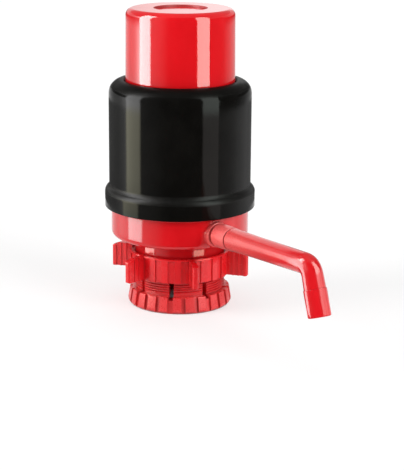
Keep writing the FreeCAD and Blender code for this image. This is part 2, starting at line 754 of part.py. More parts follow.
def spout_seals():
    """Two O-rings on the spigot."""
    rings = [o_ring(SPIGOT_R - 0.5, 0.52, place) for place in seal_places()]
    return on_spout_axis(along_x(Part.makeCompound(rings)))


def nozzle_tip():
    """Sleeve on the end of the nozzle."""
    start = TIP_SEAM + 0.05
    tip = turned([
        (SPIGOT_R + 0.03, start),
        (TIP_R, start, 0.35),
        (TIP_R, NOZZLE_LENGTH, 1.1),
        (WATER_R, NOZZLE_LENGTH, 0.4),
        (WATER_R, start + TIP_HOLD + 0.3),
        (SPIGOT_R + 0.03, start + TIP_HOLD + 0.3),
    ])
    return on_nozzle_axis(along_x(tip))


# --- the nodes ------------------------------------------------------------------------

def build():
    """Every node of the pump by name."""
    upper_clamp_z = PLATE_Z[0] - BELLOWS_LIP - CLAMP_HEIGHT
    lower_clamp_z = DECK_Z[1] + BELLOWS_LIP
    lower_head_z = lower_clamp_z + CLAMP_HEIGHT
    return {
        "base_bowl": base_bowl(),
        "deck_plate": deck_plate(),
        "deck_seal": deck_seal(),
        "outlet_valve": umbrella_valve(DECK_Z[0], DECK_Z[1]),
        "lower_clamp_ring": clamp_ring(lower_clamp_z),
        "lower_screws": screws(lower_head_z, DECK_HOLE_FOOT_Z + 0.1),
        "bellows": bellows(),
        "return_spring": return_spring(),
        "upper_clamp_ring": clamp_ring(upper_clamp_z),
        "upper_screws": screws(upper_clamp_z, PLATE_Z[1] + 10),
        "top_plate": top_plate(),
        "inlet_valve": umbrella_valve(PLATE_Z[0], PLATE_Z[1]),
        "press_cap": press_cap(),
        "sleeve": sleeve(),
        "lock_ring": lock_ring(),
        "retaining_ring": retaining_ring(),
        "collet": collet(),
        "neck_gasket": neck_gasket(),
        "tube_seal": tube_seal(),
        "spout_socket": spout_socket(),
        "spout_clip": spout_clip(),
        "spout_tube": spout_tube(),
        "spout_seals": spout_seals(),
        "nozzle_tip": nozzle_tip(),
    }


os.makedirs("parts", exist_ok=True)
for name, shape in build().items():
    shape.exportStep("parts/" + name + ".step")
    print(name, "solids", len(shape.Solids), "valid", shape.isValid(),
          "volume", round(shape.Volume, 1))
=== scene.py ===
"""Looks of the water jug hand pump: materials, thread, soft parts, studio and camera.

Metres, in the CAD model's frame: +Z up, the pump's axis on Z, the spout along +X.
"""
import math

import bmesh
import bpy
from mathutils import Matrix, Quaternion, Vector

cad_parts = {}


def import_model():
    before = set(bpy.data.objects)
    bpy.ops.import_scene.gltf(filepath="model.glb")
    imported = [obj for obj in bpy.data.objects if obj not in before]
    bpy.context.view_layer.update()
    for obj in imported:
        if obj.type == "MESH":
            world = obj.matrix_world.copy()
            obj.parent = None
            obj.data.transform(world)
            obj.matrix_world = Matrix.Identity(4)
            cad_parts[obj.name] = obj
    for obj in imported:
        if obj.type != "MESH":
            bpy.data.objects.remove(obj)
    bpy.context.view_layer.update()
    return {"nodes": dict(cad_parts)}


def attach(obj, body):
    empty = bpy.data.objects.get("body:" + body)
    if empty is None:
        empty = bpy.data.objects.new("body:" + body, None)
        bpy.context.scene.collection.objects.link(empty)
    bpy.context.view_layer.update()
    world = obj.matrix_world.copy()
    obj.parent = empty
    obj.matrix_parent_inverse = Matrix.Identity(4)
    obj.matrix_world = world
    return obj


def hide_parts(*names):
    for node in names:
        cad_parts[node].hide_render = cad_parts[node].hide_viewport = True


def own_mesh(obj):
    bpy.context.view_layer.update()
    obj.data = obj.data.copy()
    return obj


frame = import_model()

# --- sizes that follow the CAD model, in metres -------------------------------------

MM = 0.001

# thread on the collet's fingers
SLOT_COUNT = 8
SLOT_WIDTH = 3.5 * MM
SLOT_FIRST_DEG = 3.25
THREAD_ROOT_R = 32.4 * MM
THREAD_CREST_R = 33.5 * MM
THREAD_LEAD = 3.6 * MM
THREAD_STARTS = 2
THREAD_Z = (13.6 * MM, 25.2 * MM)

# bellows and return spring
BELLOWS_Z = (76.0 * MM, 150.0 * MM)
BELLOWS_LIP = 1.6 * MM
BELLOWS_LIP_R = 31.5 * MM
BELLOWS_ROOT_R = 38.4 * MM
BELLOWS_CREST_R = 44.4 * MM
BELLOWS_WALL = 1.4 * MM
BELLOWS_FOLDS = 6
SPRING_R = 17.0 * MM
SPRING_WIRE_R = 1.1 * MM
SPRING_TURNS = 8
SPRING_STEPS = 48           # sections per turn
SPRING_SIDES = 14
FOLD_STEPS = 12             # points per bellows fold

# --- view and studio ------------------------------------------------------------------

PHOTO_HEIGHT = 470          # pixels
FOCAL_PIXELS = 1571.1
SENSOR = 36.0               # millimetres, along the photo's height
CAMERA_POLAR_DEG = -31.0
CAMERA_DISTANCE = 1.13865
CAMERA_HEIGHT = 0.35439
CAMERA_PITCH_DEG = 14.936
CAMERA_YAW_DEG = 0.836
CAMERA_ROLL_DEG = 0.4

FLOOR_HALF = 6.0
FLOOR_OPENNESS = (0.06, 0.30)   # shut in by the collet, and clear of it
CARD_STEP_DEG = 1.5         # width of one column of a curved card
CEILING_SIDES = 48
ARM_CARD_X = 60 * MM        # just outside the lip, behind the arm's root
NOZZLE_X = 166 * MM
NOZZLE_CARD_DISTANCE = 60 * MM
NOZZLE_CARD_Z = (18 * MM, 95 * MM)

# radii of the round walls that mirror the curved cards
WALL_R = 52.5 * MM          # the sleeve
NECK_R = 33.5 * MM          # the skirt between bowl and lock ring

# heights of a card that show in the neck, the bowl, the sleeve and the cap, as lines of
# (radius, height, share of the card's level)
NECK_ZONE = ((0.042, 0.0395, 1), (0.042, 0.0447, 1))
NECK_WIDE_ZONE = ((0.042, 0.036, 1), (0.042, 0.050, 1))
BOWL_ZONE = ((0.20, 0.0125, 1), (0.26, 0.02, 1))
SLEEVE_ZONE = ((0.26, 0.02, 1), (0.27, 0.05, 1), (0.275, 0.11, 1))
LOW_ZONE = ((0.09, 0.001, 1), *SLEEVE_ZONE)
CAP_ZONE = ((0.275, 0.11, 1), (0.28, 0.55, 1))
CAP_LOW_ZONE = ((0.275, 0.11, 1), (0.28, 0.30, 1))
CAP_BACK_ZONE = ((0.275, 0.11, 1), (0.28, 0.178, 1), (0.28, 0.186, 0.15),
                 (0.28, 0.228, 0.12), (0.28, 0.24, 1), (0.28, 0.30, 1))
TOP_ZONE = ((0.85, 0.27, 1), (0.85, 0.40, 1))
FLOOR_ZONE = ((0.055, 0.0015, 1), (0.20, 0.0015, 1))

WHITE = (1, 1, 1)
OLIVE = (1.0, 0.97, 0.74)
WARM = (1.0, 0.93, 0.90)

# --- finishes -----------------------------------------------------------------------------

FROST = ((0.66, 0.070, 0.068), (0.80, 0.115, 0.108))
# darker red painted on the cap's recess wall as shade, with a duller gloss
RECESS_SHADE_RED = ((0.34, 0.016, 0.018), (0.42, 0.022, 0.024))

# painted shade in the crevices of a moulding, which are also rougher: (reach, darkest share,
# closed, clear)
WIDE_SHADE = (4 * MM, 0.60, 0.20, 0.75)
FINE_SHADE = (3 * MM, 0.35, 0.25, 0.80)
BOWL_SHADE = (6 * MM, 0.60, 0.20, 0.80)
CAP_SHADE = (1.5 * MM, 0.50, 0.45, 0.95)
THREAD_SHADE = (1.8 * MM, 0.30, 0.25, 0.85)

# places over which a finish fades in or out
RECESS_WALL_R = ((18.5 * MM, 18.8 * MM), (19.7 * MM, 19.9 * MM))
BOSS_ROOT_X = (50.4 * MM, 52.0 * MM)
BOWL_RIM_Z = (72.5 * MM, 73.4 * MM)
COLLAR_X = (50 * MM, 70 * MM)
ARM_X = (76 * MM, 148 * MM)
BAND_TOP_Z = (12 * MM, 14 * MM)
SHOULDER_Z = (162.0 * MM, 164.0 * MM)
LIP_SLOPE_Z = ((85.0 * MM, 86.2 * MM), (91.6 * MM, 93.0 * MM))


# --- helpers --------------------------------------------------------------------------

def polar(radius, degrees, z):
    """Point at a polar angle about the pump's axis."""
    angle = math.radians(degrees)
    return Vector((radius * math.cos(angle), radius * math.sin(angle), z))


def new_object(name, verts, faces, sharp_deg=35.0):
    """Mesh object, shaded smooth with its sharp edges kept."""
    mesh = bpy.data.meshes.new(name)
    mesh.from_pydata([tuple(v) for v in verts], [], faces)
    bm = bmesh.new()
    bm.from_mesh(mesh)
    bmesh.ops.remove_doubles(bm, verts=bm.verts, dist=1e-7)
    bmesh.ops.recalc_face_normals(bm, faces=bm.faces)
    for face in bm.faces:
        face.smooth = True
    for edge in bm.edges:
        if len(edge.link_faces) == 2:
            edge.smooth = edge.calc_face_angle() < math.radians(sharp_deg)
    bm.to_mesh(mesh)
    bm.free()
    obj = bpy.data.objects.new(name, mesh)
    bpy.context.scene.collection.objects.link(obj)
    return obj


def swept(sections, closed_path=False):
    """Vertices and faces of a skin through equal rings of points, capped if the path is open."""
    count = len(sections[0])
    verts = [p for ring in sections for p in ring]
    faces = []
    last = len(sections) if closed_path else len(sections) - 1
    for i in range(last):
        here = i * count
        there = ((i + 1) % len(sections)) * count
        for j in range(count):
            k = (j + 1) % count
            faces.append((here + j, here + k, there + k, there + j))
    if not closed_path:
        faces.append(tuple(range(count)))
        faces.append(tuple(reversed(range(len(verts) - count, len(verts)))))
    return verts, faces


def turned(outline, segments=96):
    """Vertices and faces of a ring-shaped solid from a closed outline of (radius, height)."""
    sections = []
    for i in range(segments):
        degrees = 360.0 * i / segments
        sections.append([polar(r, degrees, z) for r, z in outline])
    return swept(sections, closed_path=True)


# --- material helpers -------------------------------------------------------------------

class Shader:
    """A node material under construction, with its Principled node."""

    def __init__(self, name, **values):
        self.material = bpy.data.materials.new(name)
        self.material.use_nodes = True
        self.nodes = self.material.node_tree.nodes
        self.links = self.material.node_tree.links
        self.surface = self.nodes["Principled BSDF"]
        for key, value in values.items():
            self.surface.inputs[key.replace("_", " ")].default_value = value
        self.place = self.nodes.new("ShaderNodeTexCoord").outputs["Object"]

    def link(self, source, target):
        self.links.new(source, target)

    def noise(self, scale, detail=3.0, roughness=0.5, stretch=None):
        """Noise over the object's own coordinates, in cells per metre."""
        node = self.nodes.new("ShaderNodeTexNoise")
        node.inputs["Scale"].default_value = scale
        node.inputs["Detail"].default_value = detail
        node.inputs["Roughness"].default_value = roughness
        source = self.place
        if stretch:
            mapping = self.nodes.new("ShaderNodeMapping")
            mapping.inputs["Scale"].default_value = stretch
            self.link(source, mapping.inputs["Vector"])
            source = mapping.outputs["Vector"]
        self.link(source, node.inputs["Vector"])
        return node.outputs["Fac"]

    def ramp(self, value, low, high, from_low=0.35, from_high=0.65):
        """A value mapped from one range to another."""
        node = self.nodes.new("ShaderNodeMapRange")
        node.inputs["From Min"].default_value = from_low
        node.inputs["From Max"].default_value = from_high
        node.inputs["To Min"].default_value = low
        node.inputs["To Max"].default_value = high
        self.link(value, node.inputs["Value"])
        return node.outputs["Result"]

    def mix(self, value, low_colour, high_colour):
        """Colour mixed by a value between two colours."""
        node = self.nodes.new("ShaderNodeMix")
        node.data_type = "RGBA"
        node.inputs["A"].default_value = (*low_colour, 1)
        node.inputs["B"].default_value = (*high_colour, 1)
        self.link(value, node.inputs["Factor"])
        return node.outputs["Result"]

    def bump(self, value, strength, distance, normal=None):
        """Normal with a height field laid over it."""
        node = self.nodes.new("ShaderNodeBump")
        node.inputs["Strength"].default_value = strength
        node.inputs["Distance"].default_value = distance
        self.link(value, node.inputs["Height"])
        if normal:
            self.link(normal, node.inputs["Normal"])
        return node.outputs["Normal"]

    def soft_edges(self, radius):
        """Normal that rounds the moulding's edges."""
        node = self.nodes.new("ShaderNodeBevel")
        node.samples = 6
        node.inputs["Radius"].default_value = radius
        return node.outputs["Normal"]

    def along(self, axis):
        """One of the object's own coordinates, X, Y or Z."""
        node = self.nodes.new("ShaderNodeSeparateXYZ")
        self.link(self.place, node.inputs["Vector"])
        return node.outputs[axis]

    def radius(self):
        """Distance from the pump's axis."""
        flat = self.nodes.new("ShaderNodeVectorMath")
        flat.operation = "MULTIPLY"
        self.link(self.place, flat.inputs[0])
        flat.inputs[1].default_value = (1, 1, 0)
        length = self.nodes.new("ShaderNodeVectorMath")
        length.operation = "LENGTH"
        self.link(flat.outputs["Vector"], length.inputs[0])
        return length.outputs["Value"]

    def times(self, first, second):
        """Product of two values."""
        node = self.nodes.new("ShaderNodeMath")
        node.operation = "MULTIPLY"
        self.link(first, node.inputs[0])
        self.link(second, node.inputs[1])
        return node.outputs[0]

    def blend(self, value, low, high):
        """Output mixed by a value between two outputs, colours or values."""
        node = self.nodes.new("ShaderNodeMix")
        node.data_type = "RGBA"
        self.link(low, node.inputs["A"])
        self.link(high, node.inputs["B"])
        self.link(value, node.inputs["Factor"])
        return node.outputs["Result"]

    def openness(self, reach, closed, clear):
        """One on open faces and nought in notches, seams and corners, over a reach around."""
        node = self.nodes.new("ShaderNodeAmbientOcclusion")
        node.samples = 8
        node.inputs["Distance"].default_value = reach
        return self.ramp(node.outputs["AO"], 0, 1, closed, clear)

    def shaded(self, colour, share):
        """A colour times a value or another colour."""
        product = self.nodes.new("ShaderNodeVectorMath")
        product.operation = "MULTIPLY"
        self.link(colour, product.inputs[0])
        self.link(share, product.inputs[1])
        return product.outputs[0]

    def colour(self, output):
        self.link(output, self.surface.inputs["Base Color"])

    def roughness(self, output):
        self.link(output, self.surface.inputs["Roughness"])

    def normal(self, output):
        self.link(output, self.surface.inputs["Normal"])


def red_moulding(name, gloss, edge, waviness, shade, tone=1.0, patch=None):
    """Glossy red moulded plastic: cloudy pigment, faint flow waviness and fine grain.

    shade is the (reach, darkest share, closed, clear) of the painted shade in its crevices,
    which are also rougher, and tone scales its red darker.  patch is the (place, colours,
    roughness) of a spark-eroded finish, which on the cap's recess wall is a painted shade;
    place gives its share over the surface.
    """
    shader = Shader(name, IOR=1.5)
    pigment = shader.ramp(shader.noise(45, 4.0, stretch=(1, 1, 0.35)), 0, 1)
    deep, light = (0.665, 0.0068, 0.0105), (0.735, 0.0086, 0.0140)
    colour = shader.mix(pigment, [tone * c for c in deep], [tone * c for c in light])
    reach, darkest, closed, clear = shade
    open_share = shader.openness(reach, closed, clear)
    grain = shader.noise(2600, 2.0)
    handling = shader.noise(130, 5.0, 0.65)
    low, high = gloss
    polish = shader.ramp(handling, low, high, 0.3, 0.7)
    normal = shader.soft_edges(edge)
    normal = shader.bump(shader.noise(95, 1.0, stretch=(1, 1, 0.4)), 1.0, waviness, normal)
    normal = shader.bump(grain, 0.25, 0.02 * MM, normal)
    if patch:
        place, colours, roughness = patch
        share = place(shader)
        pits = shader.noise(1100, 2.0)
        colour = shader.blend(share, colour, shader.mix(shader.ramp(pits, 0, 1), *colours))
        polish = shader.blend(share, polish, shader.ramp(pits, *roughness))
        normal = shader.bump(shader.times(pits, share), 0.6, 0.06 * MM, normal)
    grime = shader.ramp(handling, low + 0.20, high + 0.22)
    shader.roughness(shader.blend(open_share, grime, polish))
    # base colour darker where ambient occlusion finds crevices: painted shade
    shader.colour(shader.shaded(colour, shader.ramp(open_share, darkest, 1.0, 0, 1)))
    shader.normal(normal)
    return shader.material


def recess_wall(shader):
    """The wall of the round recess in the cap's top, where the red is darkened as painted shade.
    """
    radius = shader.radius()
    near, far = RECESS_WALL_R
    return shader.times(shader.ramp(radius, 0, 1, *near), shader.ramp(radius, 1, 0, *far))


def boss_frost(shader):
    """Frost on the spout boss only: beyond the bowl's wall and below its rim."""
    beyond = shader.ramp(shader.along("X"), 0, 0.9, *BOSS_ROOT_X)
    below = shader.ramp(shader.along("Z"), 1, 0, *BOWL_RIM_Z)
    return shader.times(beyond, below)


def collar_frost(shader):
    """Even frost over the collar."""
    return shader.ramp(shader.along("X"), 0.85, 0.9, *COLLAR_X)


def arm_frost(shader):
    """Frost that fades out along the arm."""
    return shader.ramp(shader.along("X"), 0.75, 0.0, *ARM_X)


def band_frost(shader):
    """Frost on the collet's hand band, and less of it on the fingers."""
    return shader.ramp(shader.along("Z"), 0.30, 0.10, *BAND_TOP_Z)


def black_moulding():
    """Glossy black moulded plastic, dull on the shoulder and on the lip's slope."""
    shader = Shader("black_moulding", IOR=1.46)
    height = shader.along("Z")
    shoulder = shader.ramp(height, 0, 1, *SHOULDER_Z)
    foot, top = LIP_SLOPE_Z
    slope = shader.times(shader.ramp(height, 0, 1, *foot), shader.ramp(height, 1, 0, *top))
    polished = shader.times(shader.ramp(shoulder, 1, 0, 0, 1), shader.ramp(slope, 1, 0, 0, 1))
    shine = shader.times(shader.ramp(shoulder, 1, 0.4, 0, 1),
                         shader.ramp(slope, 0.08, 0.11, 0, 1))
    shader.link(shine, shader.surface.inputs["Specular IOR Level"])
    pigment = shader.ramp(shader.noise(60, 4.0), 0, 1)
    shader.colour(shader.mix(pigment, (0.0036, 0.0034, 0.0030), (0.0052, 0.0049, 0.0043)))
    handling = shader.noise(170, 5.0, 0.65)
    polish = shader.ramp(handling, 0.06, 0.10, 0.3, 0.7)
    dull = shader.ramp(handling, 0.32, 0.40, 0.3, 0.7)
    shader.roughness(shader.blend(polished, dull, polish))
    normal = shader.soft_edges(0.4 * MM)
    normal = shader.bump(shader.noise(80, 1.0, stretch=(1, 1, 0.4)), 1.0, 0.05 * MM, normal)
    shader.normal(shader.bump(shader.noise(3200, 2.0), 0.3, 0.02 * MM, normal))
    return shader.material


def white_moulding():
    """Off-white inner moulding with a dull surface."""
    shader = Shader("white_moulding", IOR=1.48)
    pigment = shader.ramp(shader.noise(70, 4.0), 0, 1)
    shader.colour(shader.mix(pigment, (0.66, 0.645, 0.60), (0.73, 0.72, 0.68)))
    shader.roughness(shader.ramp(shader.noise(300, 4.0), 0.32, 0.46))
    normal = shader.soft_edges(0.3 * MM)
    shader.normal(shader.bump(shader.noise(1900, 2.0), 0.3, 0.03 * MM, normal))
    return shader.material


def rubber(name, dark, pale, roughness):
    """Moulded rubber: mottled, dull and slightly dusty."""
    shader = Shader(name, IOR=1.5, Specular_IOR_Level=0.35)
    bloom = shader.ramp(shader.noise(110, 6.0, 0.7), 0, 1)
    shader.colour(shader.mix(bloom, dark, pale))
    shader.roughness(shader.ramp(shader.noise(420, 4.0), roughness, roughness + 0.16))
    normal = shader.soft_edges(0.25 * MM)
    shader.normal(shader.bump(shader.noise(1500, 3.0), 0.4, 0.05 * MM, normal))
    return shader.material


def steel(name, tint, roughness, stretch):
    """Drawn or turned steel with fine lines along the working direction."""
    shader = Shader(name, Metallic=1.0)
    tarnish = shader.ramp(shader.noise(150, 5.0, 0.6), 0, 1)
    shader.colour(shader.mix(tarnish, tuple(0.82 * c for c in tint), tint))
    lines = shader.noise(1400, 3.0, 0.6, stretch=stretch)
    shader.roughness(shader.ramp(lines, roughness, roughness + 0.14))
    normal = shader.soft_edges(0.15 * MM)
    shader.normal(shader.bump(lines, 0.35, 0.02 * MM, normal))
    return shader.material


# --- pieces that the CAD model leaves to this script ----------------------------------

def collet_thread():
    """Screw thread on the collet's eight fingers, broken at the slots."""
    sink = 0.35 * MM
    half_foot = 0.60 * MM
    half_crest = 0.12 * MM
    profile = [
        (THREAD_ROOT_R - sink, -half_foot - sink),
        (THREAD_ROOT_R, -half_foot),
        (THREAD_CREST_R, -half_crest),
        (THREAD_CREST_R, half_crest),
        (THREAD_ROOT_R, half_foot),
        (THREAD_ROOT_R - sink, half_foot + sink),
    ]
    sector = 360.0 / SLOT_COUNT
    half_gap = math.degrees(math.asin(SLOT_WIDTH / 2 / THREAD_ROOT_R)) + 0.35
    low, high = THREAD_Z
    rise = THREAD_LEAD / THREAD_STARTS
    steps = 24
    verts, faces = [], []
    for finger in range(SLOT_COUNT):
        start = SLOT_FIRST_DEG + finger * sector + half_gap
        span = sector - 2 * half_gap
        for crest in range(int((high - low) / rise) + 1 + THREAD_STARTS):
            sections = []
            for i in range(steps + 1):
                degrees = start + span * i / steps
                z = low + THREAD_LEAD * (degrees / 360.0 - 1) + rise * crest
                if low <= z <= high:
                    sections.append([polar(r, degrees, z + dz) for r, dz in profile])
            if len(sections) < 3:
                continue
            more_verts, more_faces = swept(sections)
            base = len(verts)
            verts += more_verts
            faces += [tuple(base + i for i in face) for face in more_faces]
    return new_object("collet_thread", verts, faces, 30.0)


def bellows_skin():
    """Folded rubber bellows with rounded crests and flat lips."""
    low, high = BELLOWS_Z
    fold_low = low + BELLOWS_LIP
    pitch = (high - low - 2 * BELLOWS_LIP) / BELLOWS_FOLDS
    middle = (BELLOWS_CREST_R + BELLOWS_ROOT_R) / 2
    swing = (BELLOWS_CREST_R - BELLOWS_ROOT_R) / 2
    steps = FOLD_STEPS * BELLOWS_FOLDS
    outer = []
    for i in range(steps + 1):
        phase = 2 * math.pi * i / FOLD_STEPS
        wave = math.cos(phase) + 0.12 * math.cos(3 * phase)
        outer.append((middle - swing * wave / 1.12, fold_low + pitch * i / FOLD_STEPS))
    inner = [(r - BELLOWS_WALL, z) for r, z in reversed(outer)]
    outline = [(BELLOWS_LIP_R, low), (BELLOWS_ROOT_R, low)] + outer
    outline += [(BELLOWS_ROOT_R, high), (BELLOWS_LIP_R, high)]
    outline += [(BELLOWS_LIP_R, high - BELLOWS_LIP)] + inner
    outline += [(BELLOWS_LIP_R, fold_low)]
    verts, faces = turned(outline)
    return new_object("bellows_skin", verts, faces, 40.0)


def spring_coil():
    """Round-wire coil of the return spring."""
    low = BELLOWS_Z[0] + SPRING_WIRE_R
    rise = BELLOWS_Z[1] - BELLOWS_Z[0] - 2 * SPRING_WIRE_R
    steps = SPRING_TURNS * SPRING_STEPS
    sections = []
    for i in range(steps + 1):
        share = i / steps
        degrees = 360.0 * SPRING_TURNS * share
        ring = []
        for j in range(SPRING_SIDES):
            angle = 2 * math.pi * j / SPRING_SIDES
            r = SPRING_R + SPRING_WIRE_R * math.cos(angle)
            ring.append(polar(r, degrees, low + rise * share + SPRING_WIRE_R * math.sin(angle)))
        sections.append(ring)
    verts, faces = swept(sections)
    return new_object("spring_coil", verts, faces, 40.0)


# --- studio -----------------------------------------------------------------------------

def sees_background(nodes, links):
    """One for camera, glossy and transmission rays, and zero for the rest."""
    path = nodes.new("ShaderNodeLightPath")
    total = path.outputs["Is Camera Ray"]
    for name in ("Is Glossy Ray", "Is Transmission Ray"):
        node = nodes.new("ShaderNodeMath")
        node.operation = "MAXIMUM"
        links.new(total, node.inputs[0])
        links.new(path.outputs[name], node.inputs[1])
        total = node.outputs[0]
    return total


def world(ambient):
    """Even white surroundings, at a plain level for the light that they give."""
    scene_world = bpy.data.worlds.new("studio_world")
    bpy.context.scene.world = scene_world
    scene_world.use_nodes = True
    nodes = scene_world.node_tree.nodes
    links = scene_world.node_tree.links
    strength = nodes.new("ShaderNodeMapRange")
    strength.inputs["To Min"].default_value = ambient
    strength.inputs["To Max"].default_value = 1.0
    links.new(sees_background(nodes, links), strength.inputs["Value"])
    background = nodes["Background"]
    background.inputs["Color"].default_value = (1, 1, 1, 1)
    links.new(strength.outputs["Result"], background.inputs["Strength"])


def floor(glow, dim, reach):
    """Pale floor that keeps the pump's shadow, with no glow where the collet shuts it in.

    For the rays that see the background, dim multiplies its colour and glow is added.
    """
    half = FLOOR_HALF
    corners = [(-half, -half, 0), (half, -half, 0), (half, half, 0), (-half, half, 0)]
    obj = new_object("studio_floor", corners, [(0, 1, 2, 3)])
    shader = Shader("floor_paper", Roughness=1.0, Specular_IOR_Level=0.0)
    seen = sees_background(shader.nodes, shader.links)
    fibre = shader.ramp(shader.noise(900, 3.0), 0, 1)
    plain = shader.mix(fibre, (0.83, 0.83, 0.83), (0.85, 0.85, 0.85))
    dimmed = shader.mix(seen, WHITE, (dim, dim, dim))
    shader.colour(shader.shaded(plain, dimmed))
    # the glow fades by ambient occlusion where the pump shuts the floor in: a painted contact
    # shadow
    outside = shader.ramp(shader.openness(reach, *FLOOR_OPENNESS), 0.0, glow, 0, 1)
    strength = shader.times(seen, outside)
    shader.surface.inputs["Emission Color"].default_value = (1, 1, 1, 1)
    shader.link(strength, shader.surface.inputs["Emission Strength"])
    obj.data.materials.append(shader.material)


def gloss_card(name, verts, faces, levels, tint=WHITE, one_sided=False):
    """Glowing card that only shows in the pump's gloss, with a level at every vertex.

    A one-sided card is clear from behind.
    """
    mesh = bpy.data.meshes.new(name)
    mesh.from_pydata([tuple(v) for v in verts], [], faces)
    level = mesh.attributes.new("level", "FLOAT", "POINT")
    for i, value in enumerate(levels):
        level.data[i].value = value
    obj = bpy.data.objects.new(name, mesh)
    bpy.context.scene.collection.objects.link(obj)
    obj.visible_camera = False
    obj.visible_diffuse = False
    obj.visible_shadow = False
    obj.visible_transmission = False
    obj.visible_volume_scatter = False
    material = bpy.data.materials.new(name)
    material.use_nodes = True
    nodes = material.node_tree.nodes
    links = material.node_tree.links
    nodes.clear()
    attribute = nodes.new("ShaderNodeAttribute")
    attribute.attribute_name = "level"
    glow = nodes.new("ShaderNodeEmission")
    glow.inputs["Color"].default_value = (*tint, 1)
    output = nodes.new("ShaderNodeOutputMaterial")
    links.new(attribute.outputs["Fac"], glow.inputs["Strength"])
    shown = glow.outputs["Emission"]
    if one_sided:
        side = nodes.new("ShaderNodeNewGeometry")
        clear = nodes.new("ShaderNodeBsdfTransparent")
        choice = nodes.new("ShaderNodeMixShader")
        links.new(side.outputs["Backfacing"], choice.inputs["Fac"])
        links.new(shown, choice.inputs[1])
        links.new(clear.outputs["BSDF"], choice.inputs[2])
        shown = choice.outputs["Shader"]
    links.new(shown, output.inputs["Surface"])
    mesh.materials.append(material)


def level_at(stops, place):
    """Value on a line through (place, value) stops."""
    for (low, low_value), (high, high_value) in zip(stops, stops[1:]):
        if place <= high:
            return low_value + (high_value - low_value) * (place - low) / (high - low)
    return stops[-1][1]


def studio_card(name, stops, zone, tint=WHITE, wall_r=WALL_R, one_sided=False):
    """Upright curved card round the pump.

    stops are (angle, level) pairs.  The angle is the direction in which the pump's round
    wall of radius wall_r mirrors the card, in degrees from the camera's side towards its
    right hand.
    """
    first, last = stops[0][0], stops[-1][0]
    columns = max(2, int((last - first) / CARD_STEP_DEG))
    verts, faces, levels = [], [], []
    for i in range(columns + 1):
        psi = first + (last - first) * i / columns
        level = level_at(stops, psi)
        for r, z, share in zone:
            offset = math.degrees(math.asin(wall_r * math.sin(math.radians(psi / 2)) / r))
            verts.append(polar(r, CAMERA_POLAR_DEG + psi - offset, z))
            levels.append(level * share)
    rows = len(zone)
    for i in range(columns):
        for j in range(rows - 1):
            here = i * rows + j
            faces.append((here, here + 1, here + rows + 1, here + rows))
    gloss_card(name, verts, faces, levels, tint, one_sided)


def softbox(name, edges, zone, level, tint):
    """Bright card over one zone; edges are (angle, share of the level) pairs."""
    studio_card(name, [(angle, share * level) for angle, share in edges], zone, tint)


def neck_card(name, first, last, level, zone, tint=WHITE):
    """Card of one level that only the neck sees, between two angles."""
    studio_card(name, [(first, level), (last, level)], zone, tint, NECK_R, one_sided=True)


def ceiling_flag(radius, z, level):
    """Round grey card over the pump."""
    rim = [polar(radius, 360 / CEILING_SIDES * i, z) for i in range(CEILING_SIDES)]
    gloss_card("ceiling_flag", rim, [tuple(range(CEILING_SIDES))], [level] * CEILING_SIDES)


def arm_card(name, corners, level):
    """Upright card at the arm's root that only the arm sees; corners are (y, z) in mm."""
    verts = [(ARM_CARD_X, y * MM, z * MM) for y, z in corners]
    count = len(verts)
    gloss_card(name, verts, [tuple(range(count))], [level] * count, one_sided=True)


def nozzle_strip(name, psi_deg, width_deg, level):
    """Narrow upright card beside the nozzle that only the nozzle's side sees.

    psi_deg is its direction from the nozzle, from the camera's side towards its right hand.
    """
    nozzle = Vector((NOZZLE_X, 0, 0))
    verts = []
    for edge in (-0.5, 0.5):
        toward = CAMERA_POLAR_DEG + psi_deg + edge * width_deg
        for z in NOZZLE_CARD_Z:
            verts.append(nozzle + polar(NOZZLE_CARD_DISTANCE, toward, z))
    # this order makes the card face the nozzle
    gloss_card(name, verts, [(0, 1, 3, 2)], [level] * 4, one_sided=True)


def sun(name, strength, angle_deg, psi_deg, elevation_deg):
    """Broad even lamp from a side of the camera and a height."""
    data = bpy.data.lights.new(name, "SUN")
    data.energy = strength
    data.angle = math.radians(angle_deg)
    obj = bpy.data.objects.new(name, data)
    bpy.context.scene.collection.objects.link(obj)
    elevation = math.radians(elevation_deg)
    toward = polar(math.cos(elevation), CAMERA_POLAR_DEG + psi_deg, math.sin(elevation))
    obj.rotation_mode = "QUATERNION"
    obj.rotation_quaternion = toward.to_track_quat("Z", "Y")


def camera():
    """Camera at the photographed view."""
    data = bpy.data.cameras.new("camera")
    data.sensor_width = SENSOR
    data.lens = FOCAL_PIXELS / PHOTO_HEIGHT * SENSOR
    data.clip_start = 0.05
    data.clip_end = 50.0
    obj = bpy.data.objects.new("camera", data)
    bpy.context.scene.collection.objects.link(obj)
    obj.location = polar(CAMERA_DISTANCE, CAMERA_POLAR_DEG, CAMERA_HEIGHT)
    pitch = math.radians(CAMERA_PITCH_DEG)
    heading = CAMERA_POLAR_DEG + 180.0 - CAMERA_YAW_DEG
    forward = polar(math.cos(pitch), heading, -math.sin(pitch))
    obj.rotation_mode = "QUATERNION"
    roll = Quaternion((0, 0, 1), math.radians(CAMERA_ROLL_DEG))
    obj.rotation_quaternion = forward.to_track_quat("-Z", "Y") @ roll
    bpy.context.scene.camera = obj


# --- putting it together ------------------------------------------------------------------

def dress(material, *names):
    """Gives CAD nodes a material."""
    for name in names:
        data = frame["nodes"][name].data
        data.materials.clear()
        data.materials.append(material)
